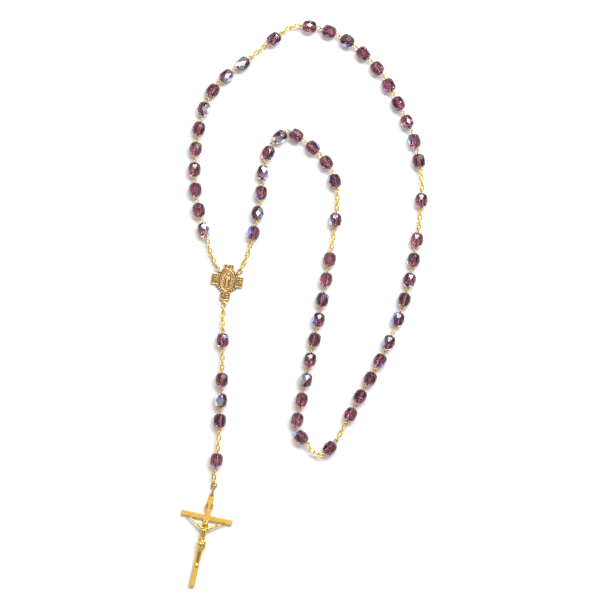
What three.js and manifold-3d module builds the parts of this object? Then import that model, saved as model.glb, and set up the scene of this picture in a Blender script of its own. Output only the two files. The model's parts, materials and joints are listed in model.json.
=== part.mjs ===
// A five-decade rosary laid out on a table, in millimetres, +Z up, with the table at z = 0.
// The origin is the middle of the medal's flat back. Faceted glass beads are strung on wire pins whose
// eyes link into each other or into short oval-link chains. A strand is a chain of pieces: every piece's
// own origin is the point where it hangs on the piece before it, its X axis runs along the strand, and
// it is nested in that piece, so that turning one piece carries the rest of its strand.
import * as THREE from 'three';
import { mergeVertices } from 'three/addons/utils/BufferGeometryUtils.js';
import { ConvexGeometry } from 'three/addons/geometries/ConvexGeometry.js';
import Module from 'manifold-3d';

const wasm = await Module();
wasm.setup();

// ---- Driving dimensions
const WIRE = 0.5; // diameter of the pins, links and rings
const WIRE_SIDES = 4;
const RING_STEPS = 8;
const SINK = 0.1; // how deep two wires of one piece run into each other
const EYE_RADIUS = 0.85; // from an eye's middle to the middle of its wire
const PIN_REACH = 10.21; // from the middle of a pin's first eye to the wire of its last

const BEAD_ACROSS = 6.5; // over the corners; 6 mm over the flats
const BEAD_LENGTH = 6.8;
const BEAD_FACETS = 8;
const BEAD_WAIST = 3.33; // height of a diamond facet, along the bead's axis
const BEAD_SHOULDER_AT = 2.8; // from the bead's middle
const BEAD_SHOULDER_ACROSS = 4.9;
const BEAD_END_ACROSS = 3.2;
const BEAD_BORE = 1.1;

const LINK_LENGTH = 3.4;
const LINK_WIDTH = 2.6;
const RING_RADIUS = 1.25; // jump rings, to the middle of the wire
const MEDAL_RING_LENGTH = 3.9;
const BAIL_LENGTH = 5.3;
const BAIL_WIDTH = 2.3;

const AXIS_HEIGHT = BEAD_ACROSS / 2; // the beads rest on the table

const MEDAL_TURN = THREE.MathUtils.degToRad(-8);
const MEDAL_THICK = 1.8;
const MEDAL_LOOP_RADIUS = 1.1;
const MEDAL_LOOP_THICK = 0.6;
const MEDAL_LOOP_HEIGHT = 1.5;
const MEDAL_TOP_LOOP = [5.8, 5.45];
const MEDAL_BOTTOM_LOOP = [0, -12.2];
const OVAL_RADII = [3.6, 5.45];
const OVAL_RISE = 0.6;
const OVAL_RIM = 0.45;
const OVAL_SINK = 0.35;

const CROSS_LENGTH = 47.9;
const CROSS_SPAN = 25.8;
const CROSS_BAR = 2.6;
const CROSSBAR_WIDTH = 2.35;
const CROSS_THICK = 1.8;
const CROSS_TAB = 1.2; // radius of the thin tab around the hole
const CROSS_TAB_THICK = 0.7;
const CROSS_HOLE = 0.55;
const CROSS_HOLE_HEIGHT = 1.25;
const CROSSING = 11.3; // from the hole to the crossbar's middle line
const PLAQUE_AT = 5.6;
const PLAQUE_SIZE = [2.5, 3.9, 0.6];
const FOOT_AT = [-18.2, -153.9]; // where the foot of the crucifix lies
const PIECE_GAP = 0.3;

const TURN = 2 * Math.PI;
const UP = new THREE.Vector3(0, 0, 1);

// ---- Materials
const goldWire = { color: 0xe6b93c, roughness: 0.28, metalness: 1 };
const brightGold = { color: 0xf0b840, roughness: 0.3, metalness: 1 };
const antiqueGold = { color: 0xc9a15a, roughness: 0.42, metalness: 1 };
const amethyst = { color: 0x6b3a55, roughness: 0.06, metalness: 0 };

function material(look) {
  return new THREE.MeshStandardMaterial(look);
}

// ---- Joining and cutting
function solid(geometry) {
  const bare = geometry.clone();
  bare.deleteAttribute('normal');
  bare.deleteAttribute('uv');
  const merged = mergeVertices(bare, 1e-4);
  const vertProperties = new Float32Array(merged.attributes.position.array);
  const triVerts = new Uint32Array(merged.index.array);
  return new wasm.Manifold(new wasm.Mesh({ numProp: 3, vertProperties, triVerts }));
}

function shapeOf(manifold) {
  const { vertProperties, triVerts } = manifold.getMesh();
  const geometry = new THREE.BufferGeometry();
  geometry.setAttribute('position', new THREE.BufferAttribute(vertProperties, 3));
  geometry.setIndex(new THREE.BufferAttribute(triVerts, 1));
  return geometry;
}

function joined(geometries) {
  return geometries.map(solid).reduce((whole, piece) => whole.add(piece));
}

// ---- Wire rings, each in its own XY plane with its long way along X
function ring(radius, wire, stretch = 0) {
  const half = Math.PI / RING_STEPS;
  const geometry = new THREE.TorusGeometry(radius / Math.cos(half), wire / 2, WIRE_SIDES, RING_STEPS);
  geometry.rotateZ(half);
  const position = geometry.attributes.position;
  for (let i = 0; i < position.count; i += 1) {
    position.setX(i, position.getX(i) + Math.sign(position.getX(i)) * stretch / 2);
  }
  return geometry;
}

// A ring whose near wire crosses X at start, upright or lying flat.
function ringFrom(start, length, width, upright) {
  const geometry = ring((width - WIRE) / 2, WIRE, length - width);
  if (upright) geometry.rotateX(Math.PI / 2);
  geometry.translate(start + (length - WIRE) / 2, 0, 0);
  return geometry;
}

function eyeAt(middle, upright) {
  const across = 2 * EYE_RADIUS + WIRE;
  return ringFrom(middle - EYE_RADIUS, across, across, upright);
}

function rod(from, to, diameter, sides) {
  const geometry = new THREE.CylinderGeometry(diameter / 2, diameter / 2, to - from, sides);
  geometry.rotateZ(Math.PI / 2);
  geometry.translate((from + to) / 2, 0, 0);
  return geometry;
}

// ---- A fire-polished bead about the X axis: a belt of diamond facets between two faceted caps
function beadGeometry() {
  const step = TURN / BEAD_FACETS;
  const flat = (BEAD_ACROSS / 2) * Math.cos(step / 2);
  const points = [];
  const around = (x, radius, turn) => {
    for (let i = 0; i < BEAD_FACETS; i += 1) {
      const angle = (i + turn) * step;
      points.push(new THREE.Vector3(x, radius * Math.cos(angle), radius * Math.sin(angle)));
    }
  };
  around(0, BEAD_ACROSS / 2, 0);
  for (const side of [-1, 1]) {
    around((side * BEAD_WAIST) / 2, flat, 0.5);
    around(side * BEAD_SHOULDER_AT, BEAD_SHOULDER_ACROSS / 2, 0);
    around((side * BEAD_LENGTH) / 2, BEAD_END_ACROSS / 2, 0);
  }
  return new ConvexGeometry(points);
}

const BEAD_AT = (PIN_REACH - EYE_RADIUS) / 2; // a bead's middle, halfway between its pin's two eyes

// ---- The pieces of a strand. steps are the distances that a piece covers along its route, one for each
// pin or link in it, and shape(frames) is its geometry, from the place of each of those. opensUpright
// says how its first eye stands; the hinge axis is then across the strand, or straight up if it lies flat.
function chain(name, links, opensUpright = true) {
  const first = LINK_LENGTH - WIRE - EYE_RADIUS;
  const pitch = LINK_LENGTH - 2 * WIRE + SINK;
  const steps = Array.from({ length: links }, (_, i) => (i ? pitch : first));
  const link = (i) => {
    const start = steps[i] - (LINK_LENGTH - WIRE);
    return ringFrom(start, LINK_LENGTH, LINK_WIDTH, (i % 2 === 0) === opensUpright);
  };
  const shape = (frames) => joined(frames.map((frame, i) => link(i).applyMatrix4(frame)));
  return { name, steps, shape, opensUpright, look: goldWire };
}

// Beads whose pins are linked eye to eye, as one piece: a pin's first eye sinks into the eye before it.
function beadGroup(name, beads) {
  const sunk = EYE_RADIUS - WIRE + SINK;
  const unit = (i) => joined([
    eyeAt(i ? sunk : 0, true),
    rod(i ? sunk : EYE_RADIUS, PIN_REACH - 2 * EYE_RADIUS, WIRE, WIRE_SIDES),
    eyeAt(PIN_REACH - EYE_RADIUS, false),
    beadGeometry().translate(BEAD_AT, 0, 0),
  ]);
  const placed = (frame, i) => solid(shapeOf(unit(i)).applyMatrix4(frame));
  const shape = (frames) => frames.map(placed).reduce((whole, piece) => whole.add(piece));
  return { name, steps: Array(beads).fill(PIN_REACH), shape, opensUpright: true, look: amethyst };
}

// A bare pin that carries one bead, which turns on it.
function pin(name, beadName, opensUpright = true) {
  const shape = () => joined([
    eyeAt(0, opensUpright),
    rod(EYE_RADIUS, PIN_REACH - 2 * EYE_RADIUS, WIRE, WIRE_SIDES),
    eyeAt(PIN_REACH - EYE_RADIUS, false),
  ]);
  return { name, steps: [PIN_REACH], shape, opensUpright, look: goldWire, beadName };
}

function wireRing(name, length, width, opensUpright) {
  const shape = () => solid(ringFrom(-EYE_RADIUS, length, width, opensUpright));
  return { name, steps: [length - WIRE - EYE_RADIUS], shape, opensUpright, look: goldWire };
}

function decade(number, groups) {
  return groups.map(([label, beads]) => beadGroup(`decade_${number}_beads_${label}`, beads));
}

// ---- Routes on the table, from one end to the other. A third number is a height other than the beads'.
const loopRoute = [
  [-5.0, 6.2, MEDAL_LOOP_HEIGHT], [-8.2, 16], [-11.6, 25.5], [-15.2, 40], [-16.4, 54], [-15.3, 69],
  [-11.4, 86.6], [-7.2, 95.7], [8.9, 108.8], [24, 120.8], [32.3, 126.4], [41.2, 127.1], [50.6, 124.5],
  [59.3, 120.2], [74.7, 106.6], [84.9, 89.3], [93.3, 70.4], [97, 50], [97, 40.1], [94.8, 20.6], [91, 0.1],
  [85.1, -19.9], [77, -38.6], [67.1, -56.4], [53.2, -82], [49.8, -86.5], [45.6, -87.2], [42.6, -83.4],
  [34.1, -77.6], [36.6, -62.5], [47.3, -11.1], [54, 29.9], [54.8, 45.4], [50, 59.3], [42.4, 66.3],
  [30.3, 75], [20.1, 64.3], [17, 43.3], [13, 22.4], [10.3, 15], [6.5, 4.6, MEDAL_LOOP_HEIGHT],
];
const pendantRoute = [
  [-1.7, -12.1, MEDAL_LOOP_HEIGHT], [-2.0, -24], [-2.6, -49.7], [-3.7, -70.9], [-5.2, -90.5], [-6.2, -97],
  [-6.5, -101.5, 2], [-6.7, -104, 1.4], [-7.6, -107, CROSS_HOLE_HEIGHT], [-9, -111, CROSS_HOLE_HEIGHT],
];

function curveThrough(points) {
  const at = ([x, y, z = AXIS_HEIGHT]) => new THREE.Vector3(x, y, z);
  return new THREE.CatmullRomCurve3(points.map(at), false, 'centripetal');
}

// The points of a route, close together, none above the beads' height.
function trace(points) {
  const samples = curveThrough(points).getSpacedPoints(8000);
  for (const point of samples) point.z = Math.min(point.z, AXIS_HEIGHT);
  return samples;
}

// Walks along traced points in straight steps of the given lengths, from a place already on them.
function walk(samples, steps, start) {
  const places = [start];
  let at = 0;
  for (const step of steps) {
    const here = places.at(-1);
    while (at < samples.length - 1 && samples[at].distanceTo(here) < step) at += 1;
    const ahead = samples[at].clone().sub(here).setLength(step);
    places.push(here.clone().add(ahead));
  }
  return places;
}

function frameFrom(from, to) {
  const along = to.clone().sub(from).normalize();
  const across = UP.clone().cross(along).normalize();
  const over = along.clone().cross(across);
  return new THREE.Matrix4().makeBasis(along, across, over).setPosition(from);
}

// ---- Assembling
const rosary = new THREE.Group();
rosary.name = 'rosary';

function addMesh(parent, name, manifold, look, frame) {
  const mesh = new THREE.Mesh(shapeOf(manifold), material(look));
  mesh.name = name;
  mesh.applyMatrix4(frame);
  rosary.add(mesh);
  parent.updateWorldMatrix(true, false);
  parent.attach(mesh);
  return mesh;
}

// Hangs the pieces on parent one after the other and returns the last mesh and the place of its end.
function hang(parent, pieces, samples, start) {
  const places = walk(samples, pieces.flatMap((piece) => piece.steps), start);
  let carrier = parent;
  let first = 0;
  for (const piece of pieces) {
    const frames = piece.steps.map((_, i) => frameFrom(places[first + i], places[first + i + 1]));
    const home = frames[0].clone();
    const inverse = home.clone().invert();
    const local = frames.map((frame) => inverse.clone().multiply(frame));
    carrier = addMesh(carrier, piece.name, piece.shape(local), piece.look, home);
    if (piece.beadName) addBead(carrier, piece.beadName, home);
    first += piece.steps.length;
  }
  return { mesh: carrier, end: places.at(-1) };
}

function addBead(carrier, name, home) {
  const bore = solid(rod(-BEAD_LENGTH, BEAD_LENGTH, BEAD_BORE, BEAD_FACETS));
  const shape = solid(beadGeometry()).subtract(bore);
  const frame = home.clone().multiply(new THREE.Matrix4().makeTranslation(BEAD_AT, 0, 0));
  addMesh(carrier, name, shape, amethyst, frame);
}

// ---- The medal: a four-armed plate with stepped corners, a raised oval with a figure, three cast loops
function mirroredOutline(right) {
  const left = right.map(([x, y]) => [-x, y]).reverse();
  return new THREE.Shape([...right, ...left].map(([x, y]) => new THREE.Vector2(x, y)));
}

function plate(shape, from, to) {
  const geometry = new THREE.ExtrudeGeometry(shape, { depth: to - from, bevelEnabled: false });
  return geometry.translate(0, 0, from);
}

function ellipse(radii, from, to) {
  const geometry = new THREE.CylinderGeometry(1, 1, to - from, 24);
  geometry.rotateX(Math.PI / 2);
  geometry.scale(radii[0], radii[1], 1);
  return geometry.translate(0, 0, (from + to) / 2);
}

function medalSolid() {
  const outline = mirroredOutline([
    [2.45, 8.1], [2.2, 5.3], [3.5, 5.3], [3.5, 4.1], [4.9, 4.1], [4.9, 2.3], [7.95, 2.6],
    [7.95, -2.6], [5.5, -2.3], [5.5, -3.9], [4.2, -3.9], [4.2, -5.2], [2.2, -5.2], [2.45, -9.9],
    [1.5, -9.9], [0.9, -11.3],
  ]);
  const robe = mirroredOutline([[0.4, 2.4], [0.95, 1.8], [1.2, -0.5], [1.35, -4]]);
  const top = MEDAL_THICK + OVAL_RISE;
  const floor = top - OVAL_SINK;
  const field = OVAL_RADII.map((radius) => radius - OVAL_RIM);
  const loop = ([x, y]) => {
    const geometry = ring(MEDAL_LOOP_RADIUS, MEDAL_LOOP_THICK);
    return geometry.translate(x, y, MEDAL_LOOP_HEIGHT);
  };
  const neck = (side) => {
    const geometry = new THREE.BoxGeometry(1.3, 1, MEDAL_LOOP_THICK);
    geometry.rotateZ(Math.PI / 4);
    geometry.translate(4.5, 4.15, MEDAL_LOOP_HEIGHT);
    return side < 0 ? geometry.rotateZ(Math.PI / 2).translate(-0.35, -0.35, 0) : geometry;
  };
  const [loopX, loopY] = MEDAL_TOP_LOOP;
  const body = joined([
    plate(outline, 0, MEDAL_THICK), ellipse(OVAL_RADII, 1, top),
    loop([loopX, loopY]), loop([-loopX, loopY]), loop(MEDAL_BOTTOM_LOOP), neck(1), neck(-1),
  ]);
  const figure = joined([
    plate(robe, floor - SINK, top),
    new THREE.SphereGeometry(0.62, 8, 6).translate(0, 3, floor + 0.1),
  ]);
  return body.subtract(solid(ellipse(field, floor, top + 1))).add(figure);
}

const medal = addMesh(
  rosary, 'medal', medalSolid(), antiqueGold, new THREE.Matrix4().makeRotationZ(MEDAL_TURN),
);

// The point on a medal loop's wire that a strand pulls on.
function pullPoint([x, y], samples) {
  const middle = new THREE.Vector3(x, y, MEDAL_LOOP_HEIGHT).applyMatrix4(medal.matrix);
  const ahead = samples.find((point) => point.distanceTo(middle) > 2 * MEDAL_LOOP_RADIUS);
  const way = ahead.clone().sub(middle).setZ(0).setLength(MEDAL_LOOP_RADIUS);
  return middle.add(way);
}

// ---- The loop: two strands that start at the medal's upper loops and end face to face
const leftPieces = [
  chain('loop_chain_1', 6),
  ...decade(1, [['a', 3], ['b', 2], ['c', 2], ['d', 3]]),
  chain('loop_chain_2', 4),
  pin('single_pin_1', 'single_bead_1'),
  chain('loop_chain_3', 4),
  ...decade(2, [['a', 3], ['b', 2], ['c', 2], ['d', 3]]),
  chain('loop_chain_4', 4),
  pin('single_pin_2', 'single_bead_2'),
  chain('loop_chain_5', 4),
  ...decade(3, [['a', 3], ['b', 2]]),
];
const rightPieces = [
  chain('loop_chain_10', 6),
  ...decade(5, [['d', 3], ['c', 2], ['b', 3], ['a', 2]]),
  chain('loop_chain_9', 4),
  pin('single_pin_4', 'single_bead_4'),
  chain('loop_chain_8', 4),
  ...decade(4, [['d', 3], ['c', 3], ['b', 2], ['a', 2]]),
  chain('loop_chain_7', 4),
  pin('single_pin_3', 'single_bead_3'),
  chain('loop_chain_6', 4),
  ...decade(3, [['d', 3], ['c', 2]]),
];
const leftTrace = trace(loopRoute);
const rightTrace = trace(loopRoute).reverse();
const leftStart = pullPoint([-MEDAL_TOP_LOOP[0], MEDAL_TOP_LOOP[1]], leftTrace);
const left = hang(medal, leftPieces, leftTrace, leftStart);
const right = hang(medal, rightPieces, rightTrace, pullPoint(MEDAL_TOP_LOOP, rightTrace));

// ---- The pendant: ring, chains and five beads, down to the crucifix
const pendantPieces = [
  wireRing('medal_ring', MEDAL_RING_LENGTH, 2 * RING_RADIUS + WIRE, true),
  chain('pendant_chain_1', 4, false),
  pin('pendant_pin_1', 'pendant_bead_1', false),
  chain('pendant_chain_2', 4),
  pin('pendant_pin_2', 'pendant_bead_2'),
  pin('pendant_pin_3', 'pendant_bead_3'),
  pin('pendant_pin_4', 'pendant_bead_4'),
  chain('pendant_chain_3', 4),
  pin('pendant_pin_5', 'pendant_bead_5'),
  chain('pendant_chain_4', 3),
  wireRing('crucifix_ring', 2 * RING_RADIUS + WIRE, 2 * RING_RADIUS + WIRE, false),
  wireRing('crucifix_bail', BAIL_LENGTH, BAIL_WIDTH, true),
];
const pendantTrace = trace(pendantRoute);
const pendant = hang(medal, pendantPieces, pendantTrace, pullPoint(MEDAL_BOTTOM_LOOP, pendantTrace));

// ---- The crucifix, with +X from its hole to its foot and z = 0 on its back
function box(from, to) {
  const size = to.map((value, i) => value - from[i]);
  const middle = to.map((value, i) => (value + from[i]) / 2);
  return new THREE.BoxGeometry(...size).translate(...middle);
}

function crossSolid() {
  const half = CROSS_BAR / 2;
  const arm = CROSSBAR_WIDTH / 2;
  const foot = CROSS_LENGTH - CROSS_TAB;
  const tabShape = (radius, thick) => {
    const geometry = new THREE.CylinderGeometry(radius, radius, thick, 12);
    return geometry.rotateX(Math.PI / 2).translate(0, 0, CROSS_HOLE_HEIGHT);
  };
  const body = joined([
    box([0.8, -half, 0], [foot, half, CROSS_THICK]),
    box([CROSSING - arm, -CROSS_SPAN / 2, 0], [CROSSING + arm, CROSS_SPAN / 2, CROSS_THICK]),
    tabShape(CROSS_TAB, CROSS_TAB_THICK),
  ]);
  return body.subtract(solid(tabShape(CROSS_HOLE, 2 * CROSS_THICK)));
}

function plaqueSolid() {
  const [long, wide, thick] = PLAQUE_SIZE;
  const base = CROSS_THICK + PIECE_GAP;
  const curl = (side) => rod(PLAQUE_AT - long / 2, PLAQUE_AT + long / 2, thick, 8)
    .translate(0, (side * wide) / 2, base + thick / 2);
  const sheet = box([PLAQUE_AT - long / 2, -wide / 2, base], [PLAQUE_AT + long / 2, wide / 2, base + 0.4]);
  return joined([sheet, curl(-1), curl(1)]);
}

// A tapering round limb from a to b.
function limb(a, b, radiusA, radiusB) {
  const points = [[a, radiusA], [b, radiusB]].flatMap(([centre, radius]) => {
    const { position } = new THREE.IcosahedronGeometry(radius).translate(...centre).attributes;
    return Array.from({ length: position.count }, (_, i) => new THREE.Vector3().fromBufferAttribute(position, i));
  });
  return new ConvexGeometry(points);
}

// A hanging figure: arms up to the crossbar, knees a little bent, feet together. X is measured from the
// crossbar's middle line.
function corpusSolid() {
  const base = CROSS_THICK + PIECE_GAP;
  const limbs = [
    limb([3.4, 0.2, base + 1.9], [2.8, 0.35, base + 2], 1.1, 1.05), // head
    limb([3.7, 0.1, base + 1.6], [6.1, 0, base + 1.4], 0.55, 0.7), // neck
    limb([5.8, 0, base + 1.35], [9.1, 0, base + 1.35], 1.45, 1.2), // chest
    limb([9.1, 0, base + 1.35], [13.3, 0.3, base + 1.3], 1.15, 1.3), // waist and hips
  ];
  for (const side of [-1, 1]) {
    const shoulder = [5.3, side * 1.6, base + 1.3];
    const elbow = [3.2, side * 5, base + 1];
    const hand = [0.9, side * 8.9, base + 0.6];
    const hip = [13.5, side * 0.6 + 0.3, base + 1.2];
    const knee = [17.1, side * 0.55 + 0.5, base + 1.9];
    const foot = [24.3, side * 0.35 + 0.2, base + 0.6];
    limbs.push(limb(shoulder, elbow, 0.7, 0.55));
    limbs.push(limb(elbow, hand, 0.55, 0.45));
    limbs.push(limb(hip, knee, 0.9, 0.7));
    limbs.push(limb(knee, foot, 0.7, 0.5));
  }
  return joined(limbs.map((part) => part.translate(CROSSING, 0, 0)));
}

const hole = pendant.end.clone().setZ(0);
const crucifixFrame = frameFrom(hole, new THREE.Vector3(...FOOT_AT, 0));
const crucifix = addMesh(pendant.mesh, 'crucifix', crossSolid(), brightGold, crucifixFrame);
addMesh(crucifix, 'title_plaque', plaqueSolid(), brightGold, crucifixFrame);
addMesh(crucifix, 'corpus', corpusSolid(), brightGold, crucifixFrame);

export default rosary;
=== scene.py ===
"""A five-decade rosary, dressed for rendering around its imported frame.

The frame is in metres. Shapes here are modelled in millimetres and scaled as they become objects.
Every strand piece has its place from the record's joints: the joint's point is where the piece hangs on
the piece before it, and the next joint's point is where it ends.
"""

import json
import math
import random

import bmesh
import bpy
from mathutils import Matrix, Vector

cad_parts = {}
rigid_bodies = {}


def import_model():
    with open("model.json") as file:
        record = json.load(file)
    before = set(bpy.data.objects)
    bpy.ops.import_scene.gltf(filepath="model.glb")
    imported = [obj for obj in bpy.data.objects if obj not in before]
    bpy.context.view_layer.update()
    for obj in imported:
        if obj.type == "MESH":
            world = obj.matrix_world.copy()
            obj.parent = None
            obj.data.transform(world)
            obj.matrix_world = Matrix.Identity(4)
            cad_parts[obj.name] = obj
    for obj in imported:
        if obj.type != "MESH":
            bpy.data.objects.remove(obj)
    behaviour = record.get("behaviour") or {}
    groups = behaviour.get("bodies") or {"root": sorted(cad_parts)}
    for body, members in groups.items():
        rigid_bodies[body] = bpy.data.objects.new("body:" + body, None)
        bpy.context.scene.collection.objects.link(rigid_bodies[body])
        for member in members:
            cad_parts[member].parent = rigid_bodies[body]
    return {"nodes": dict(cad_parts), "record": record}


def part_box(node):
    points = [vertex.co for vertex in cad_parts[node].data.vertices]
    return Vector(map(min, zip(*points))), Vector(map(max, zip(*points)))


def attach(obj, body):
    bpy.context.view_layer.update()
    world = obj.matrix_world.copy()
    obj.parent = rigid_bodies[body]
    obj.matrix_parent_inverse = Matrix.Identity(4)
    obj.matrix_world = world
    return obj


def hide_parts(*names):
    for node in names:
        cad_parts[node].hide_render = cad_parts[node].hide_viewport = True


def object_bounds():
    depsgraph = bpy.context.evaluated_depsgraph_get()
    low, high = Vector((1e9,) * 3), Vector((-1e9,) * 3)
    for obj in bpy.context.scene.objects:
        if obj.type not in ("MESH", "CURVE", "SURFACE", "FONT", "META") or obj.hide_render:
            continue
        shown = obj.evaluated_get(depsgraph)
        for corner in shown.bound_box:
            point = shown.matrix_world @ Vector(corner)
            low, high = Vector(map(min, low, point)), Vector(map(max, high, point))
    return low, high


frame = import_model()
cad_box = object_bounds()

# ---- Dimensions in millimetres
MM = 0.001
TURN = 2 * math.pi
WIRE = 0.5
EYE_RADIUS = 0.85
PIN_REACH = 10.21
BEAD_AT = (PIN_REACH - EYE_RADIUS) / 2
EYE_SLACK = 0.35
LINK_WIRE = 0.65
LINK_LENGTH = 3.4  # this and the width are over a wire of WIRE, whose middle line they set
LINK_WIDTH = 2.15
LINK_FIRST = LINK_LENGTH - WIRE - EYE_RADIUS
LINK_PITCH = 2.5
LINKS = {"loop_chain_1": 6, "loop_chain_10": 6, "pendant_chain_4": 3}
USUAL_LINKS = 4
LINK_TWIST = 0.35  # in radians, at most
FIRST_TWIST_SHARE = 0.3  # the first link turns inside the eye before it, so it stays nearer square
BEAD_RADIUS = 3.25  # over the corners of its belt
BEAD_HALF = 3.4
BEAD_FACETS = 8
SHOULDER_AT = 2.8
SHOULDER_RADIUS = 2.45
END_RADIUS = 1.6
BORE_RADIUS = 0.5
RING_RADIUS = 1.25
MEDAL_RING_LENGTH = 3.9
BAIL_LENGTH = 5.3
BAIL_WIDTH = 2.3
BAIL_WIRE = 0.75
RING_WIRE = 0.65
HOLE_HEIGHT = 1.25
MEDAL_TURN = math.radians(-8)
CROSS_THICK = 1.8
CROSSING = 11.3  # from the crucifix's hole to the crossbar's middle line
CROSS_FOOT = 46.7
PLAQUE_AT = 5.6
UP = Vector((0, 0, 1))

# ---- The view, in metres but for the sensor
VIEW_WIDTH = 0.304
VIEW_SHIFT = Vector((-0.0002, -0.0001, 0))
VIEW_HEIGHT = 1.3
SENSOR = 36.0


# ---- Places in the frame
joints = {joint["child"]: joint for joint in frame["record"]["behaviour"]["joints"]}
followers = {}
for joint in frame["record"]["behaviour"]["joints"]:
    if not joint.get("continuous"):
        followers[joint["parent"]] = joint["child"] if joint["parent"] != "medal" else None


def hinge_point(body):
    return Vector(joints[body]["pos_m"]) / MM


def opens_upright(body):
    """Whether a piece's first eye or link stands on edge: then its hinge lies level."""
    return abs(joints[body]["axis"][2]) < 0.5


def box_middle(node):
    low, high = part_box(node)
    return (Vector(low) + Vector(high)) / (2 * MM)


def frame_from(start, end):
    """A placement at start with X towards end and Y level."""
    along = (end - start).normalized()
    across = UP.cross(along).normalized()
    over = along.cross(across)
    return Matrix.Translation(start) @ Matrix((along, across, over)).transposed().to_4x4()


def bead_tops(node):
    """Above the middle of each bead of a CAD node is a corner of its belt, its highest point."""
    points = [vertex.co / MM for vertex in frame["nodes"][node].data.vertices]
    high = [point for point in points if point.z > 2 * BEAD_RADIUS - 0.15]
    tops = []
    for point in high:
        if all((point - top).length > BEAD_RADIUS for top in tops):
            tops.append(point)
    return tops


def pin_frames(node):
    """The placement of every pin in a rigid group of beads, in order."""
    start = hinge_point(node)
    middles = [top - BEAD_RADIUS * UP for top in bead_tops(node)]
    places = []
    while middles:
        middle = min(middles, key=lambda point: (point - start).length)
        middles.remove(middle)
        place = frame_from(start, middle)
        places.append(place)
        start = place @ Vector((PIN_REACH, 0, 0))
    return places


def link_frames(body):
    """The placement of every link in a chain, which bends evenly between its two ends."""
    start = hinge_point(body)
    after = followers[body]
    end = hinge_point(after)
    count = LINKS.get(body, USUAL_LINKS)
    steps = [LINK_FIRST] + [LINK_PITCH] * (count - 1)
    side = (end - start).cross(box_middle(after) - end).z

    def path(bend):
        spots = [Vector((0, 0, 0))]
        for i, step in enumerate(steps):
            way = Vector((math.cos(i * bend), math.sin(i * bend), 0))
            spots.append(spots[-1] + step * way)
        return spots

    low, high = 0.0, 1.0
    for _ in range(40):
        middle = (low + high) / 2
        if path(middle)[-1].length > (end - start).length:
            low = middle
        else:
            high = middle
    spots = path(math.copysign(low, side))
    turn = math.atan2(spots[-1].y, spots[-1].x)
    level = frame_from(start, end) @ Matrix.Rotation(-turn, 4, "Z")
    spots = [level @ spot for spot in spots]
    return [frame_from(a, b) for a, b in zip(spots, spots[1:])]


# ---- Shapes: (vertices, faces) in millimetres
def moved(shape, matrix):
    vertices, faces = shape
    return [matrix @ Vector(vertex) for vertex in vertices], faces


def joined(shapes):
    vertices = []
    faces = []
    for more_vertices, more_faces in shapes:
        start = len(vertices)
        vertices += more_vertices
        faces += [tuple(start + i for i in face) for face in more_faces]
    return vertices, faces


def tube(points, radius, over=UP, closed=False, sides=12):
    """A round wire along a path in one plane; over is square to that plane."""
    points = [Vector(point) for point in points]
    count = len(points)
    vertices = []
    for i, point in enumerate(points):
        before = points[i - 1] if closed or i else point
        after = points[(i + 1) % count] if closed or i < count - 1 else point
        side = over.cross((after - before).normalized())
        here = radius[i] if isinstance(radius, list) else radius
        for k in range(sides):
            angle = TURN * k / sides
            vertices.append(point + here * (math.cos(angle) * side + math.sin(angle) * over))
    faces = []
    for i in range(count if closed else count - 1):
        for k in range(sides):
            a = i * sides + k
            b = i * sides + (k + 1) % sides
            c = (i + 1) % count * sides
            faces.append((a, b, c + (k + 1) % sides, c + k))
    if not closed:
        faces.append(tuple(reversed(range(sides))))
        faces.append(tuple(range((count - 1) * sides, count * sides)))
    return vertices, faces


def oval(length, width, steps=28):
    """A closed path in XY: two half circles and their straight sides."""
    points = []
    for i in range(steps):
        angle = TURN * (i + 0.5) / steps
        shift = math.copysign((length - width) / 2, math.cos(angle))
        points.append((width / 2 * math.cos(angle) + shift, width / 2 * math.sin(angle), 0))
    return points


def standing(middle, upright):
    """Moves a flat shape along X and stands it on edge if asked."""
    lift = Matrix.Rotation(math.pi / 2, 4, "X") if upright else Matrix()
    return Matrix.Translation((middle, 0, 0)) @ lift


def ring(start, length, width, upright, thick=WIRE):
    """A wire ring whose near wire crosses X at start; length and width are to its outside."""
    wire = tube(oval(length - WIRE, width - WIRE), thick / 2, closed=True)
    return moved(wire, standing(start + (length - WIRE) / 2, upright))


def eye(middle, upright, neck):
    """A wire turned round into an eye, with its cut end just short of the neck. neck is its angle."""
    gap = 0.42
    steps = 22
    angles = [neck + gap + (TURN - gap) * i / steps for i in range(steps + 1)]
    points = [(EYE_RADIUS * math.cos(a), EYE_RADIUS * math.sin(a), 0) for a in angles]
    return moved(tube(points, WIRE / 2), standing(middle, upright))


def pin(upright=True, slack=0.0):
    """A pin with an eye at each end; the second always lies flat."""
    end = PIN_REACH - EYE_RADIUS
    rod = tube([(slack + EYE_RADIUS, 0, 0), (end - EYE_RADIUS, 0, 0)], WIRE / 2)
    return joined([eye(slack, upright, 0.0), rod, eye(end, False, math.pi)])


def bead_levels():
    """Where a bead's facets meet, from its belt to its bore: place along X, radius, and turn in steps.

    A kite runs from a corner of the belt to a corner of the shoulder, and a cap facet from there to the
    end. Both are flat, which settles where two kites meet each other, the belt and the cap.
    """
    lean = math.cos(TURN / BEAD_FACETS / 2)
    kite = (BEAD_RADIUS - SHOULDER_RADIUS) / SHOULDER_AT
    cap = (SHOULDER_RADIUS - END_RADIUS) / (BEAD_HALF - SHOULDER_AT) * lean
    waist = BEAD_RADIUS * (1 - lean ** 2) / kite
    top = (BEAD_RADIUS / lean - SHOULDER_RADIUS * lean - cap * SHOULDER_AT) / (kite / lean - cap)
    return [
        (waist, BEAD_RADIUS * lean, 0.5),
        (top, (BEAD_RADIUS - kite * top) / lean, 0.5),
        (SHOULDER_AT, SHOULDER_RADIUS, 0),
        (BEAD_HALF, END_RADIUS, 0),
        (BEAD_HALF - 0.12, BORE_RADIUS, 0),
    ]


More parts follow.
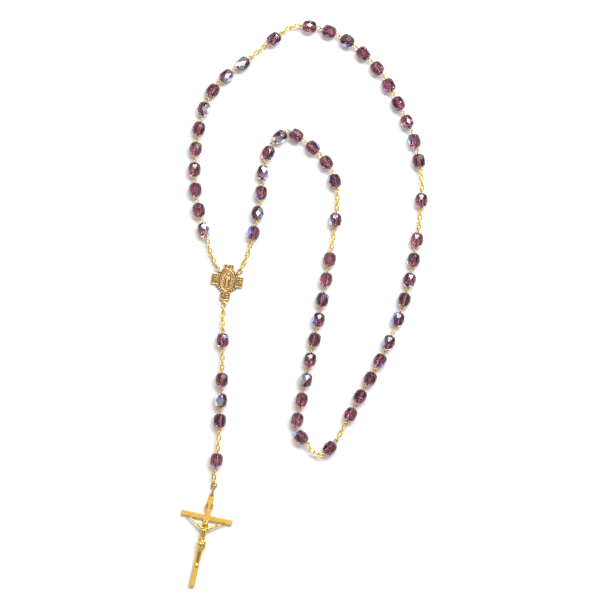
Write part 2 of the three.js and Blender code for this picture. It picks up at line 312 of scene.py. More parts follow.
def bead(spin):
    """A fire-polished bead about X: a belt of diamonds, kites above and below, caps, and a bore."""
    count = BEAD_FACETS
    levels = [(0, BEAD_RADIUS, 0)]
    for side in (1, -1):
        levels += [(side * x, radius, turn) for x, radius, turn in bead_levels()]
    vertices = []
    for x, radius, turn in levels:
        for i in range(count):
            angle = spin + TURN * (i + turn) / count
            vertices.append(Vector((x, radius * math.cos(angle), radius * math.sin(angle))))

    def corner(level, i):
        return level * count + i % count

    faces = []
    for i in range(count):
        faces.append((corner(0, i), corner(1, i), corner(0, i + 1), corner(6, i)))
        faces.append((corner(5, i), corner(5, i + 1), corner(10, i + 1), corner(10, i)))
        for u in (1, 6):
            v, w, x, bore = u + 1, u + 2, u + 3, u + 4
            faces.append((
                corner(0, i), corner(u, i), corner(v, i), corner(w, i), corner(v, i - 1),
                corner(u, i - 1),
            ))
            faces.append((
                corner(v, i), corner(w, i + 1), corner(x, i + 1), corner(x, i), corner(w, i),
            ))
            faces.append((corner(x, i), corner(x, i + 1), corner(bore, i + 1), corner(bore, i)))
    return vertices, faces


def ball(middle, radii, steps=16):
    """An ellipsoid; radii is one number or three."""
    radii = Vector(radii) if hasattr(radii, "__len__") else Vector((radii, radii, radii))
    rows = steps // 2
    vertices = [Vector((0, 0, 1))]
    for j in range(1, rows):
        level = math.pi * j / rows
        for i in range(steps):
            angle = TURN * i / steps
            flat = math.sin(level)
            vertices.append(Vector((flat * math.cos(angle), flat * math.sin(angle), math.cos(level))))
    vertices.append(Vector((0, 0, -1)))
    vertices = [Vector(middle) + Vector(a * b for a, b in zip(v, radii)) for v in vertices]
    faces = []
    last = len(vertices) - 1
    for i in range(steps):
        after = (i + 1) % steps
        faces.append((0, 1 + i, 1 + after))
        faces.append((last, last - steps + after, last - steps + i))
        for j in range(rows - 2):
            a = 1 + j * steps
            faces.append((a + i, a + steps + i, a + steps + after, a + after))
    return vertices, faces


def limb(points, radii, steps=14):
    """A round limb through points, with its own radius at each."""
    parts = [ball(point, radius, steps) for point, radius in zip(points, radii)]
    for (a, b), (ra, rb) in zip(zip(points, points[1:]), zip(radii, radii[1:])):
        a, b = Vector(a), Vector(b)
        over = (b - a).orthogonal().normalized()
        parts.append(tube([a, b], [ra, rb], over, sides=steps))
    return joined(parts)


def prism(outline, low, high):
    """An outline in XY, anticlockwise, raised from low to high."""
    count = len(outline)
    vertices = [Vector((x, y, z)) for z in (low, high) for x, y in outline]
    faces = [tuple(reversed(range(count))), tuple(range(count, 2 * count))]
    for i in range(count):
        after = (i + 1) % count
        faces.append((i, after, count + after, count + i))
    return vertices, faces


def block(low, high):
    outline = [(low[0], low[1]), (high[0], low[1]), (high[0], high[1]), (low[0], high[1])]
    return prism(outline, low[2], high[2])


# ---- Objects
def mesh_of(name, shape, matrix=Matrix()):
    vertices, faces = moved(shape, matrix)
    mesh = bpy.data.meshes.new(name)
    mesh.from_pydata([vertex * MM for vertex in vertices], [], faces)
    tidy = bmesh.new()
    tidy.from_mesh(mesh)
    bmesh.ops.recalc_face_normals(tidy, faces=tidy.faces)
    tidy.to_mesh(mesh)
    tidy.free()
    return mesh


def piece(name, mesh, body, material, nodes, smooth=True):
    """An object that rides on a body and stands for CAD nodes."""
    thing = bpy.data.objects.new(name, mesh)
    bpy.context.collection.objects.link(thing)
    mesh.materials.append(material)
    mesh.polygons.foreach_set("use_smooth", [smooth] * len(mesh.polygons))
    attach(thing, body)
    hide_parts(*nodes)
    return thing


def cast_mesh(name, shapes, voxel, matrix, rounds=2):
    """Melts overlapping shapes, in millimetres, into one skin, and smooths it."""
    vertices, faces = joined(shapes)
    rough = bpy.data.meshes.new(name + "_rough")
    rough.from_pydata(vertices, [], faces)
    thing = bpy.data.objects.new(name + "_rough", rough)
    bpy.context.collection.objects.link(thing)
    melt = thing.modifiers.new("melt", "REMESH")
    melt.mode = "VOXEL"
    melt.voxel_size = voxel
    soften = thing.modifiers.new("soften", "SMOOTH")
    soften.iterations = rounds
    soften.factor = 0.5
    bpy.context.view_layer.update()
    graph = bpy.context.evaluated_depsgraph_get()
    mesh = bpy.data.meshes.new_from_object(thing.evaluated_get(graph))
    mesh.name = name
    mesh.transform(Matrix.Scale(MM, 4) @ matrix)
    bpy.data.objects.remove(thing)
    bpy.data.meshes.remove(rough)
    return mesh


# ---- Materials
def new_material(name):
    material = bpy.data.materials.new(name)
    material.use_nodes = True
    tree = material.node_tree
    return material, tree.nodes, tree.links, tree.nodes["Principled BSDF"]


def noise(nodes, links, scale, detail=3.0):
    """Noise over the object's own space, scale in features per metre."""
    place = nodes.new("ShaderNodeTexCoord")
    texture = nodes.new("ShaderNodeTexNoise")
    texture.inputs["Scale"].default_value = scale
    texture.inputs["Detail"].default_value = detail
    links.new(place.outputs["Object"], texture.inputs["Vector"])
    return texture.outputs["Fac"]


def ramp(nodes, links, source, stops):
    """A colour ramp; stops are (place, colour)."""
    node = nodes.new("ShaderNodeValToRGB")
    elements = node.color_ramp.elements
    while len(elements) < len(stops):
        elements.new(0.5)
    for element, (place, colour) in zip(elements, stops):
        element.position = place
        element.color = (*colour, 1)
    links.new(source, node.inputs["Fac"])
    return node.outputs["Color"]


def span(nodes, links, source, low, high, to_low, to_high):
    node = nodes.new("ShaderNodeMapRange")
    for key, value in (("From Min", low), ("From Max", high), ("To Min", to_low), ("To Max", to_high)):
        node.inputs[key].default_value = value
    links.new(source, node.inputs["Value"])
    return node.outputs["Result"]


def bump(nodes, links, height, distance, strength=1.0):
    node = nodes.new("ShaderNodeBump")
    node.inputs["Distance"].default_value = distance
    node.inputs["Strength"].default_value = strength
    links.new(height, node.inputs["Height"])
    return node.outputs["Normal"]


def metal(name, dark, bright, roughness, pit):
    """Gold with a mottled tone, an uneven polish and fine pits."""
    material, nodes, links, shader = new_material(name)
    shader.inputs["Metallic"].default_value = 1.0
    colour = ramp(nodes, links, noise(nodes, links, 900), [(0.3, dark), (0.7, bright)])
    links.new(colour, shader.inputs["Base Color"])
    polish = span(nodes, links, noise(nodes, links, 2500), 0.3, 0.7, roughness * 0.75, roughness * 1.3)
    links.new(polish, shader.inputs["Roughness"])
    pits = noise(nodes, links, 6000, 4.0)
    links.new(bump(nodes, links, pits, pit), shader.inputs["Normal"])
    return material


def blend_to(nodes, links, colour, other, amount):
    mix = nodes.new("ShaderNodeMix")
    mix.data_type = "RGBA"
    mix.inputs[7].default_value = (*other, 1)
    links.new(amount, mix.inputs[0])
    links.new(colour, mix.inputs[6])
    return mix.outputs[2]


def paint_crease_patina_and_shade(material, patina_and_shade_colour, amount):
    """Paints the creases of a casting darker: partly patina, partly painted shade."""
    nodes, links = material.node_tree.nodes, material.node_tree.links
    base = nodes["Principled BSDF"].inputs["Base Color"]
    shape = nodes.new("ShaderNodeNewGeometry")
    crease_patina_and_shade = span(nodes, links, shape.outputs["Pointiness"], 0.42, 0.52, amount, 0.0)
    links.new(blend_to(nodes, links, base.links[0].from_socket, patina_and_shade_colour, crease_patina_and_shade), base)


def paint_low_patina_and_shade(material, patina_and_shade_colour, low, high, amount):
    """Paints a casting darker low down, fading out from one height to another: painted shade close to the
    surface under it, and on sunk panels partly patina.
    """
    nodes, links = material.node_tree.nodes, material.node_tree.links
    base = nodes["Principled BSDF"].inputs["Base Color"]
    place = nodes.new("ShaderNodeTexCoord")
    height = nodes.new("ShaderNodeSeparateXYZ")
    links.new(place.outputs["Object"], height.inputs["Vector"])
    low_patina_and_shade = span(nodes, links, height.outputs["Z"], low * MM, high * MM, amount, 0.0)
    links.new(blend_to(nodes, links, base.links[0].from_socket, patina_and_shade_colour, low_patina_and_shade), base)


def attribute(nodes, name):
    node = nodes.new("ShaderNodeAttribute")
    node.attribute_name = name
    return node.outputs["Fac"]


def glass(name):
    """Amethyst glass with painted shade: darker towards its edges and on facets marked dark. A pearly film
    lies on the facets that have been coated.
    """
    material, nodes, links, shader = new_material(name)
    glass_painted_shade = (0.06, 0.014, 0.036)
    cloud = noise(nodes, links, 160)
    tint = ramp(nodes, links, cloud, [(0.3, (0.72, 0.31, 0.44)), (0.7, (0.81, 0.38, 0.52))])
    # Painted shade: the glass turns dark plum at its edges and on the facets marked in the shade attribute,
    # standing in for the dark its surroundings cast through it.
    rim = nodes.new("ShaderNodeLayerWeight")
    rim.inputs["Blend"].default_value = 0.62
    tint = blend_to(nodes, links, tint, glass_painted_shade, rim.outputs["Facing"])
    tint = blend_to(nodes, links, tint, glass_painted_shade, attribute(nodes, "shade"))
    links.new(tint, shader.inputs["Base Color"])
    shader.inputs["Transmission Weight"].default_value = 1.0
    shader.inputs["Roughness"].default_value = 0.015
    shader.inputs["IOR"].default_value = 1.54
    wave = bump(nodes, links, noise(nodes, links, 500, 1.0), 0.00008, 0.3)
    links.new(wave, shader.inputs["Normal"])
    film = nodes.new("ShaderNodeBsdfPrincipled")
    shades = [
        (0.0, (0.12, 0.16, 0.8)), (0.3, (0.3, 0.6, 1.0)), (0.5, (0.55, 0.84, 1.0)),
        (0.7, (1.0, 1.0, 1.0)), (0.85, (0.5, 0.32, 0.85)), (1.0, (0.85, 0.95, 1.0)),
    ]
    links.new(ramp(nodes, links, attribute(nodes, "hue"), shades), film.inputs["Base Color"])
    film.inputs["Metallic"].default_value = 1.0
    film.inputs["Roughness"].default_value = 0.1
    links.new(wave, film.inputs["Normal"])
    mix = nodes.new("ShaderNodeMixShader")
    links.new(attribute(nodes, "film"), mix.inputs[0])
    links.new(shader.outputs["BSDF"], mix.inputs[1])
    links.new(film.outputs["BSDF"], mix.inputs[2])
    links.new(mix.outputs["Shader"], nodes["Material Output"].inputs["Surface"])
    return material


chain_gold = metal("chain_gold", (0.76, 0.51, 0.07), (0.92, 0.66, 0.12), 0.14, 0.00001)
# The pins, their eyes and the medal's ring are the chain's gold painted darker, as painted shade.
pin_gold_painted_shade = metal("pin_gold_painted_shade", (0.58, 0.41, 0.1), (0.74, 0.53, 0.14), 0.26, 0.00001)
ring_gold = metal("ring_gold", (0.48, 0.32, 0.05), (0.66, 0.45, 0.08), 0.2, 0.00001)
cast_gold = metal("cast_gold", (0.74, 0.46, 0.1), (0.81, 0.52, 0.13), 0.2, 0.00002)
figure_gold = metal("figure_gold", (0.84, 0.56, 0.11), (0.93, 0.64, 0.15), 0.24, 0.00001)
# The figure's creases get patina and painted shade; its low side, next to the cross, gets painted shade, the
# shadow between figure and cross.
figure_patina_and_shade = (0.16, 0.075, 0.012)
paint_crease_patina_and_shade(figure_gold, figure_patina_and_shade, 1.0)
paint_low_patina_and_shade(figure_gold, figure_patina_and_shade, 2.0, 2.9, 0.85)
old_gold = metal("old_gold", (0.74, 0.51, 0.24), (0.94, 0.69, 0.36), 0.3, 0.00003)
# The medal's creases and sunk panels are painted darker: partly patina, partly painted shade.
old_patina_and_shade = (0.2, 0.11, 0.035)
paint_crease_patina_and_shade(old_gold, old_patina_and_shade, 0.95)
paint_low_patina_and_shade(old_gold, old_patina_and_shade, 1.45, 1.85, 0.75)
amethyst = glass("amethyst")

# ---- Beads
luck = random.Random(20)
COATED_UP_SHARE = 0.17  # of the beads
COAT_REACH = 0.6  # least cosine between a coated facet and the coated side
# Painted shade on the glass: how many facets underneath are painted dark, and how dark those underneath and
# on top are painted.
DARK_SHARE = 0.5  # of the facets underneath
DARK_SHADES = (0.75, 1)
LIGHT_SHADES = (0, 0.35)


def coat(mesh, beads):
    """Gives every facet its share of the pearly film, the film's tone, and how much painted shade darkens its
    glass.

    Each bead was coated from one side. It mostly lies with that side turned away, so that only facets
    at its edge show the film, and now and then with that side up. About half of the facets underneath are
    painted dark, as painted shade, and show through those on top as dark patches; those on top get a little
    painted shade too.
    """
    film = mesh.attributes.new("film", "FLOAT", "FACE")
    hue = mesh.attributes.new("hue", "FLOAT", "FACE")
    shade = mesh.attributes.new("shade", "FLOAT", "FACE")
    per_bead = len(mesh.polygons) // beads
    for k in range(beads):
        coated_up = luck.random() < COATED_UP_SHARE
        rise = luck.uniform(0.55, 0.9) if coated_up else luck.uniform(-0.9, 0.1)
        turn = luck.uniform(0, TURN)
        flat = math.sqrt(1 - rise ** 2)
        side = Vector((flat * math.cos(turn), flat * math.sin(turn), rise))
        for i in range(k * per_bead, (k + 1) * per_bead):
            normal = mesh.polygons[i].normal
            share = luck.uniform(0.7, 1)
            tone = luck.uniform(0.4, 1) if coated_up else luck.uniform(0, 0.45)
            coated = normal.dot(side) > COAT_REACH and normal.z > -0.1
            film.data[i].value = share if coated else 0
            hue.data[i].value = tone
            # Painted shade, mostly on the facets underneath.
            dark = luck.uniform(*DARK_SHADES) if luck.random() < DARK_SHARE else 0
            shade.data[i].value = dark if normal.z < 0 else luck.uniform(*LIGHT_SHADES)


def add_beads(name, body, node, places):
    """The glass of one rigid piece, with facets that are flat but for their softened edges."""
    spins = [luck.uniform(0, TURN) for _ in places]
    shape = joined([moved(bead(spin), place) for spin, place in zip(spins, places)])
    mesh = mesh_of(name, shape)
    coat(mesh, len(places))
    thing = piece(name, mesh, body, amethyst, [node], smooth=False)
    soften = thing.modifiers.new("soften", "BEVEL")
    soften.width = 0.06 * MM
    soften.segments = 2
    soften.limit_method = "ANGLE"
    soften.angle_limit = math.radians(12)


def add_wire(body, shape, material):
    mesh = mesh_of(body + "_wire", shape)
    piece(body + "_wire", mesh, body, material, [body])


to_bead = Matrix.Translation((BEAD_AT, 0, 0))
bodies = frame["record"]["behaviour"]["bodies"]
for body in bodies:
    if body.startswith("decade"):
        places = pin_frames(body)
        pins = [moved(pin(slack=EYE_SLACK if i else 0), place) for i, place in enumerate(places)]
        add_wire(body, joined(pins), pin_gold_painted_shade)
        add_beads(body + "_glass", body, body, [place @ to_bead for place in places])
    elif "_pin_" in body:
        own_bead = body.replace("_pin_", "_bead_")
        place = frame_from(hinge_point(body), hinge_point(own_bead))
        add_wire(body, moved(pin(opens_upright(body)), place), pin_gold_painted_shade)
        add_beads(own_bead + "_glass", own_bead, own_bead, [place @ to_bead])
    elif "_chain_" in body:
        links = []
        for i, place in enumerate(link_frames(body)):
            start = (LINK_PITCH if i else LINK_FIRST) - (LINK_LENGTH - WIRE)
            upright = opens_upright(body) == (i % 2 == 0)
            twist = luck.uniform(-LINK_TWIST, LINK_TWIST) * (1 if i else FIRST_TWIST_SHARE)
            place = place @ Matrix.Rotation(twist, 4, "X")
            links.append(moved(ring(start, LINK_LENGTH, LINK_WIDTH, upright, LINK_WIRE), place))
        add_wire(body, joined(links), chain_gold)


def add_ring(body, length, width, thick, end, material):
    place = frame_from(hinge_point(body), end)
    shape = ring(-EYE_RADIUS, length, width, opens_upright(body), thick)
    add_wire(body, moved(shape, place), material)


ring_size = 2 * RING_RADIUS + WIRE
crucifix_hole = hinge_point("crucifix")
crucifix_hole.z = HOLE_HEIGHT
add_ring("medal_ring", MEDAL_RING_LENGTH, ring_size, WIRE, hinge_point("pendant_chain_1"), pin_gold_painted_shade)
add_ring("crucifix_ring", ring_size, ring_size, RING_WIRE, hinge_point("crucifix_bail"), ring_gold)
add_ring("crucifix_bail", BAIL_LENGTH, BAIL_WIDTH, BAIL_WIRE, crucifix_hole, ring_gold)


# ---- The medal
PANEL = 1.4  # height of its sunk panels
PLATE = 1.8  # and of their borders
# Each arm's turn from +Y, where its panel begins and ends, and half its width.
MEDAL_ARMS = (
    (0, 5.85, 8.1, 2.2), (math.pi, 5.85, 9.9, 2.2),
    (math.pi / 2, 4.25, 7.95, 2.35), (-math.pi / 2, 4.25, 7.95, 2.35),
)
MEDAL_STEPS = ((4.5, 2.95), (3.7, 3.9), (2.85, 4.8), (4.75, -3.0), (3.65, -4.1), (2.7, -4.9))
MEDAL_LOOPS = ((-5.8, 5.45), (5.8, 5.45), (0, -12.2))
OVAL = (3.4, 5.25)


def scroll(middle, size, turn, flip, coils=1.3):
    """A raised spiral line, thickest halfway, with a bud at its heart."""
    steps = 32
    points = []
    widths = []
    for i in range(steps + 1):
        t = i / steps
        angle = turn + flip * TURN * coils * t
        reach = size * (1 - 0.8 * t)
        points.append((middle[0] + reach * math.cos(angle), middle[1] + reach * math.sin(angle), middle[2]))
        widths.append(0.1 + 0.09 * math.sin(math.pi * t))
    return joined([tube(points, widths), ball(middle, (0.22, 0.22, 0.3), 8)])


def ellipse(radii, z, steps=56):
    turns = [TURN * i / steps for i in range(steps)]
    return [(radii[0] * math.cos(a), radii[1] * math.sin(a), z) for a in turns]


def mirrored(right):
    return right + [(-x, y) for x, y in reversed(right)]


def arm_ornament(turn, inner, reach, half):
    """A sunk panel's border and its scrollwork, modelled on an arm along +Y and turned."""
    outer = reach - 0.24
    corners = [(-half, inner), (-half - 0.1, outer), (half + 0.1, outer), (half, inner)]
    corners = [(x, y, PLATE - 0.22) for x, y in corners]
    parts = [tube([corners[k - 1], corners[k]], 0.24) for k in range(4)]
    parts += [ball(corner, 0.25, 10) for corner in corners]
    stem = [(0, inner + 0.5, PANEL), (0, (inner + outer) / 2, PANEL + 0.1), (0, outer - 0.45, PANEL)]
    parts.append(limb(stem, [0.15, 0.26, 0.15], 10))
    for side in (-1, 1):
        parts.append(scroll((side * 1.08, outer - 1.15, PANEL + 0.1), 0.75, math.pi / 2 - side * 0.7, side))
        parts.append(ball((side * 1.85, outer - 0.5, PANEL), 0.2, 8))
        if outer - inner > 3:
            parts.append(scroll((side * 1.08, inner + 0.95, PANEL + 0.1), 0.6, -math.pi / 2, -side, 1.1))
            parts.append(ball((side * 1.85, inner + 0.5, PANEL), 0.18, 8))
    return moved(joined(parts), Matrix.Rotation(turn, 4, "Z"))


def robed_figure(field):
    """A standing figure in a mantle, hands held a little out, on a low mound, with rays around it."""
    parts = [
        limb([(0, 1.9, field + 0.1), (0, 0.4, field + 0.12), (0, -3.2, field)], [0.55, 0.62, 0.92]),
        ball((0, 2.95, field + 0.22), (0.46, 0.58, 0.5)),
        ball((0, 2.85, field + 0.68), (0.08, 0.16, 0.1), 8),
        limb([(-0.12, 2.6, field + 0.62), (0.12, 2.6, field + 0.62)], [0.05, 0.05], 8),
        ball((0, -3.95, field), (1.55, 0.5, 0.35)),
    ]
    for side in (-1, 1):
        mantle = [(0.42, 3.35, 0.1), (0.75, 2.6, 0.08), (1.15, 1.0, 0.1), (1.3, -1.0, 0.08), (1.42, -3.3, 0)]
        mantle = [(side * x, y, field + z) for x, y, z in mantle]
        parts.append(limb(mantle, [0.28, 0.24, 0.27, 0.24, 0.2], 10))
        arm = [(0.5, 1.6, 0.3), (0.95, 0.5, 0.5), (1.6, -0.2, 0.35)]
        parts.append(limb([(side * x, y, field + z) for x, y, z in arm], [0.3, 0.25, 0.15], 10))
        parts.append(ball((side * 0.18, 3.0, field + 0.62), (0.1, 0.06, 0.08), 8))
        for fold in (0.2, 0.62):
            line = [(side * fold * 0.6, 0.6, field + 0.72), (side * fold * 1.3, -3.5, field + 0.88)]
            parts.append(tube(line, 0.1, sides=8))
    veil = [(-0.45, 3.35, field + 0.2), (0, 3.62, field + 0.2), (0.45, 3.35, field + 0.2)]
    parts.append(limb(veil, [0.2, 0.22, 0.2], 10))
    rays = 28
    for start, end in zip(ellipse((1.75, 3.9), field, rays), ellipse((2.45, 4.35), field, rays)):
        parts.append(tube([start, end], 0.06, sides=6))
    return parts


def medal_shapes():
    outline = mirrored([
        (1.5, -9.9), (2.45, -9.9), (2.3, -5.4), (3.1, -5.4), (3.1, -4.6), (4.2, -4.6), (4.2, -3.7),
        (5.3, -3.7), (5.3, -2.5), (7.95, -2.6), (7.95, 2.6), (5.0, 2.45), (5.0, 3.4), (4.1, 3.4),
        (4.1, 4.4), (3.3, 4.4), (3.3, 5.3), (2.3, 5.3), (2.45, 8.1),
    ])
    field = PANEL + 0.15
    parts = [
        prism(outline, 0, PANEL),
        prism([(-0.75, -11.4), (0.75, -11.4), (1.6, -9.8), (-1.6, -9.8)], 0.3, PLATE - 0.1),
        prism([(x, y) for x, y, _ in ellipse(OVAL, 0)], 0.5, field),
        tube(ellipse(OVAL, PLATE + 0.1), 0.3, closed=True),
        tube(ellipse(OVAL, PLATE - 0.15), 0.34, closed=True),
    ]
    parts += [ball(spot, 0.13, 8) for spot in ellipse((2.75, 4.6), field)]
    parts += robed_figure(field)
    parts += [arm_ornament(*arm) for arm in MEDAL_ARMS]
    for side in (-1, 1):
        for x, y in MEDAL_STEPS:
            ridge = [(side * x * 0.86, y * 0.9, PANEL), (side * x, y, PANEL + 0.05)]
            parts.append(limb(ridge, [0.22, 0.38], 10))
        parts.append(limb([(side * 3.9, 3.7, 1.2), (side * 5.0, 4.65, 1.5)], [0.55, 0.42]))
    for x, y in MEDAL_LOOPS:
        parts.append(moved(tube(oval(2.2, 2.2), 0.32, closed=True), Matrix.Translation((x, y, 1.5))))
    return parts


medal_place = Matrix.Rotation(MEDAL_TURN, 4, "Z")
medal_mesh = cast_mesh("medal_cast", medal_shapes(), 0.08, medal_place, rounds=1)
piece("medal_cast", medal_mesh, "medal", old_gold, ["medal"])


# ---- The crucifix: X runs from its hole to its foot
def crucifix_place():
    hole = hinge_point("crucifix")
    hole.z = 0
    points = [vertex.co / MM for vertex in frame["nodes"]["crucifix"].data.vertices]
    reach = max((point - hole).length for point in points)
    far = [point for point in points if (point - hole).length > reach - 1]
    foot = sum(far, Vector()) / len(far)
    foot.z = 0
    return frame_from(hole, foot)


def cross_mesh(matrix):
    """The flat cross, its edges and inner corners softened, with its hole cut through the thin tab."""
    half = 1.3
    arm = 1.175
    corner = 0.45
    right = [
        (0.9, half), (CROSSING - arm - corner, half), (CROSSING - arm, half + corner),
        (CROSSING - arm, 12.9), (CROSSING + arm, 12.9), (CROSSING + arm, half + corner),
        (CROSSING + arm + corner, half), (CROSS_FOOT, half),
    ]
    outline = [(x, -y) for x, y in right] + [(x, y) for x, y in reversed(right)]
    steps = 24
    hole = [(0.55 * math.cos(TURN * i / steps), 0.55 * math.sin(TURN * i / steps)) for i in range(steps)]
    tab = [(1.2 * math.cos(TURN * i / steps), 1.2 * math.sin(TURN * i / steps)) for i in range(steps)]
    vertices = [Vector((x, y, z)) for z in (0.9, 1.6) for x, y in tab]
    vertices += [Vector((x, y, z)) for z in (0.9, 1.6) for x, y in hole]
    faces = []
    for i in range(steps):
        j = (i + 1) % steps
        faces.append((i, j, steps + j, steps + i))
        faces.append((2 * steps + j, 2 * steps + i, 3 * steps + i, 3 * steps + j))
        faces.append((j, i, 2 * steps + i, 2 * steps + j))
        faces.append((steps + i, steps + j, 3 * steps + j, 3 * steps + i))
    return mesh_of("crucifix_cross", joined([prism(outline, 0, CROSS_THICK), (vertices, faces)]), matrix)


def plaque_shape():
    """A curling strip along Y whose two ends roll up, with a raised line near each long edge."""
    steps = 14
    flat = 1.35
    roll = 0.42
    base = CROSS_THICK + 0.12
    right = [(y, 0) for y in (0, 0.5, 1.0, flat)]
    curl = 1.45 * math.pi
    for i in range(1, steps + 1):
        angle = curl * i / steps
        right.append((flat + roll * math.sin(angle), roll * (1 - math.cos(angle))))
    line = [(-y, z) for y, z in reversed(right[1:])] + right
    thick = 0.16
    parts = []
    rows = []
    for i, (y, z) in enumerate(line):
        before = line[max(i - 1, 0)]
        after = line[min(i + 1, len(line) - 1)]
        along = Vector((0, after[0] - before[0], after[1] - before[1])).normalized()
        across = Vector((1, 0, 0)).cross(along)
        rows.append([
            Vector((x, y, base + z)) + across * (side * thick) for side in (-1, 1) for x in (-1.25, 1.25)
        ])
    vertices = [vertex for row in rows for vertex in row]
    faces = [(0, 1, 3, 2), tuple(len(vertices) - 4 + k for k in (0, 2, 3, 1))]
    for i in range(len(rows) - 1):
        a = 4 * i
        for p, q in ((0, 1), (1, 3), (3, 2), (2, 0)):
            faces.append((a + p, a + q, a + 4 + q, a + 4 + p))
    parts.append((vertices, faces))
    for x in (-0.95, 0.95):
        parts.append(block((x - 0.07, -flat, base), (x + 0.07, flat, base + thick + 0.1)))
    return moved(joined(parts), Matrix.Translation((PLAQUE_AT, 0, 0)))


def head_shapes(z):
    """A calm, bowed, leaning head with long hair and a circlet, its eyes closed."""
    parts = [
        ball((3.3, 0.3, z + 0.75), (1.08, 0.82, 0.85), 20),
        ball((2.9, 0.35, z + 0.55), (1.12, 0.98, 0.85), 20),
        ball((4.2, 0.2, z + 1.0), (0.42, 0.5, 0.42)),
        ball((3.5, 0.25, z + 1.55), (0.3, 0.14, 0.2), 10),
        limb([(3.05, -0.15, z + 1.38), (3.0, 0.65, z + 1.38)], [0.15, 0.15], 10),
        limb([(4.0, 0.08, z + 1.42), (4.0, 0.4, z + 1.42)], [0.08, 0.08], 8),
    ]
    for side in (-1, 1):
        parts.append(ball((3.36, 0.26 + side * 0.32, z + 1.4), (0.1, 0.17, 0.1), 10))
        for lock in range(5):
            turn = side * (0.5 + 0.42 * lock)
            root = Vector((2.4 + 0.15 * lock, 0.3 + 0.85 * math.sin(turn), z + 0.95))
            tip = Vector((4.5 + 0.12 * lock, 0.3 + side * (0.75 + 0.1 * lock), z + 0.25))
            bend = (root + tip) / 2 + Vector((0, side * 0.15, 0.1))
            parts.append(limb([root, bend, tip], [0.2, 0.2, 0.12], 8))
    thorns = 14
    for k in range(thorns):
        turn = TURN * k / thorns
        lift = math.cos(turn)
        parts.append(ball((2.65 + 0.3 * lift, 0.32 + 0.98 * math.sin(turn), z + 0.75 + 0.8 * lift), 0.17, 8))
    return parts


def cloth_shapes(z):
    """A knotted loincloth with a hanging end."""
    parts = [
        limb([(12.1, -0.45, z), (13.5, -0.35, z + 0.05), (14.5, -0.2, z + 0.1)], [1.15, 1.35, 1.1]),
        limb([(12.1, 0.75, z), (13.5, 0.9, z + 0.05), (14.8, 0.85, z + 0.15)], [1.1, 1.25, 0.95]),
        limb([(11.6, -1.35, z + 0.5), (11.9, 0.1, z + 0.9), (11.6, 1.55, z + 0.5)], [0.3, 0.34, 0.34]),
        ball((11.9, 1.75, z + 0.45), (0.5, 0.42, 0.45)),
        limb([(12.2, 1.85, z + 0.3), (14.1, 2.05, z), (15.6, 1.85, z - 0.2)], [0.34, 0.42, 0.2]),
        limb([(14.0, -0.4, z + 0.8), (15.8, -0.6, z + 0.95), (17.4, -0.75, z + 0.6)], [0.55, 0.45, 0.2]),
    ]
    folds = 5
    for k in range(folds):
        y = -1.2 + 0.6 * k
        fold = [(12.2, y, z + 0.95), (13.3, y * 0.7 + 0.4, z + 1.2), (14.6, y * 0.45 + 0.3, z + 0.95)]
        parts.append(limb(fold, [0.14, 0.18, 0.12], 8))
    return parts


def arm_shapes(side, z):
    elbow = (3.45, side * 4.95, z - 0.35)
    wrist = (1.65, side * 8.1, z - 0.6)
    parts = [
        limb([(5.4, side * 1.35, z), (4.45, side * 3.2, z - 0.15), elbow], [0.78, 0.66, 0.46]),
        limb([elbow, (2.65, side * 6.3, z - 0.45), wrist], [0.46, 0.56, 0.34]),
        limb([wrist, (1.1, side * 9.0, z - 0.62)], [0.34, 0.42]),
        ball((1.15, side * 8.85, z - 0.2), 0.2, 10),
    ]
    for finger in range(4):
        root = Vector((1.25 - 0.14 * finger, side * (9.0 - 0.08 * finger), z - 0.6))
        tip = root + Vector((-0.2 - 0.14 * finger, side * (0.75 - 0.12 * finger), -0.05))
        parts.append(limb([root, tip], [0.14, 0.11], 8))
    return parts


def leg_shapes(side, z):
    y = 0.25 + side * 0.55
    knee = (17.1, y, z + 0.8)
    thigh = [(13.5, y * 1.1 + side * 0.1, z + 0.1), (15.5, y, z + 0.5), knee]
    shin = [knee, (19.1, y * 0.85, z + 0.35), (21.9, y * 0.7, z - 0.3), (23.3, y * 0.6, z - 0.55)]
    foot = [(23.2, y * 0.6, z - 0.5), (24.3, y * 0.55, z - 0.1), (25.1, y * 0.6, z - 0.35)]
    return [
        limb(thigh, [1.05, 0.92, 0.72]), limb(shin, [0.66, 0.66, 0.4, 0.36]), limb(foot, [0.4, 0.4, 0.3]),
    ]


def figure_shapes():
    """The hanging figure, with X measured from the crossbar's middle line, on its own small footrest."""
    z = CROSS_THICK + 1.1
    parts = [
        limb([(5.5, -1.0, z), (5.5, 1.0, z)], [0.8, 0.8]),
        limb([(6.3, 0, z + 0.05), (8.0, 0, z + 0.1)], [1.35, 1.15]),
        limb([(8.0, 0, z), (9.9, 0.05, z - 0.1), (11.5, 0.15, z)], [1.12, 0.95, 1.1]),
        limb([(5.3, 0.1, z + 0.1), (4.2, 0.2, z + 0.45)], [0.52, 0.5]),
        block((23.5, -0.6, CROSS_THICK - 0.05), (25.5, 1.0, CROSS_THICK + 0.35)),
        ball((24.4, 0.25, z + 0.3), 0.22, 10),
    ]
    parts += head_shapes(z) + cloth_shapes(z)
    for side in (-1, 1):
        parts.append(ball((6.5, side * 0.6, z + 1.0), (0.75, 0.62, 0.45)))
        for rib in range(3):
            x = 7.6 + 0.5 * rib
            line = [(x, side * 0.25, z + 1.12), (x + 0.25, side * 1.0, z + 0.65)]
            parts.append(limb(line, [0.15, 0.12], 8))
        parts += arm_shapes(side, z) + leg_shapes(side, z)
    return parts


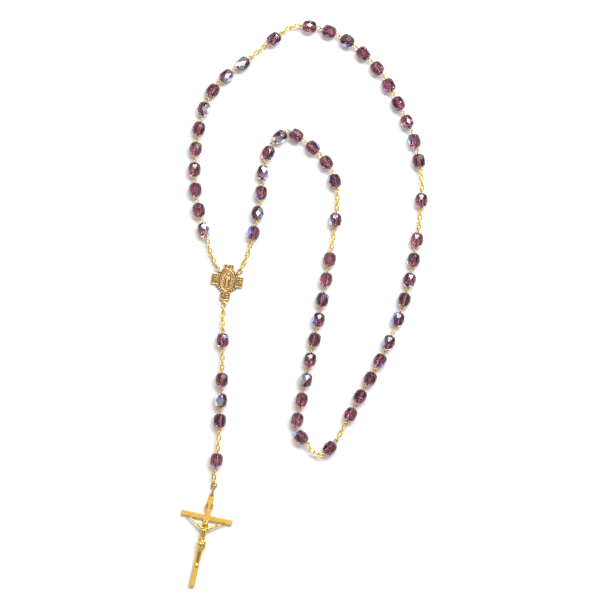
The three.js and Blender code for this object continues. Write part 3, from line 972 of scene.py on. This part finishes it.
place = crucifix_place()
cross = piece(
    "crucifix_cross", cross_mesh(place), "crucifix", cast_gold, ["crucifix"], smooth=False,
)
edges = cross.modifiers.new("edges", "BEVEL")
edges.width = 0.14 * MM
edges.segments = 3
edges.limit_method = "ANGLE"
edges.angle_limit = math.radians(40)
piece(
    "title_plaque_scroll", mesh_of("title_plaque_scroll", plaque_shape(), place), "crucifix", cast_gold,
    ["title_plaque"], smooth=False,
)
figure_place = place @ Matrix.Translation((CROSSING, 0, 0))
figure = cast_mesh("corpus_figure", figure_shapes(), 0.09, figure_place)
piece("corpus_figure", figure, "crucifix", figure_gold, ["corpus"])

# ---- Floor, lights and camera
low, high = (Vector(corner) for corner in cad_box)
middle = (low + high) / 2


def flat_sheet(name, size, z):
    mesh = bpy.data.meshes.new(name)
    half = size / 2
    corners = [(-half, -half, z), (half, -half, z), (half, half, z), (-half, half, z)]
    mesh.from_pydata(corners, [], [(0, 1, 2, 3)])
    thing = bpy.data.objects.new(name, mesh)
    bpy.context.collection.objects.link(thing)
    return thing


def floor_material():
    material, nodes, links, shader = new_material("floor_paper")
    tone = ramp(nodes, links, noise(nodes, links, 30), [(0.3, (0.94, 0.94, 0.94)), (0.7, (0.96, 0.96, 0.96))])
    links.new(tone, shader.inputs["Base Color"])
    shader.inputs["Roughness"].default_value = 0.9
    shader.inputs["Specular IOR Level"].default_value = 0.1
    return material


def area_light(name, place, aim, size, power):
    light = bpy.data.lights.new(name, "AREA")
    light.shape = "RECTANGLE"
    light.size, light.size_y = size
    light.energy = power
    thing = bpy.data.objects.new(name, light)
    thing.location = place
    thing.rotation_euler = (Vector(aim) - Vector(place)).to_track_quat("-Z", "Y").to_euler()
    bpy.context.collection.objects.link(thing)


floor = flat_sheet("floor", 4, 0)
floor.data.materials.append(floor_material())

world = bpy.data.worlds.new("studio")
world.use_nodes = True
world.node_tree.nodes["Background"].inputs["Color"].default_value = (1.0, 0.92, 0.84, 1)
world.node_tree.nodes["Background"].inputs["Strength"].default_value = 0.4
bpy.context.scene.world = world

area_light("overhead", middle + Vector((0, 0, 1.7)), middle, (1.0, 1.0), 2.6)
area_light("key", middle + Vector((0.5, 0.55, 0.75)), middle, (0.45, 0.45), 3.0)
area_light("strip", middle + Vector((0.2, 0.46, 0.78)), middle, (0.7, 0.2), 7.5)
area_light("left", middle + Vector((-0.8, 0.2, 0.5)), middle, (0.3, 0.7), 0.7)

view = bpy.data.cameras.new("camera")
view.sensor_width = SENSOR
view.lens = SENSOR * VIEW_HEIGHT / VIEW_WIDTH
view.clip_start = 0.01
camera = bpy.data.objects.new("camera", view)
camera.location = (middle.x + VIEW_SHIFT.x, middle.y + VIEW_SHIFT.y, VIEW_HEIGHT)
bpy.context.collection.objects.link(camera)
bpy.context.scene.camera = camera
bpy.context.scene.view_settings.view_transform = "Standard"
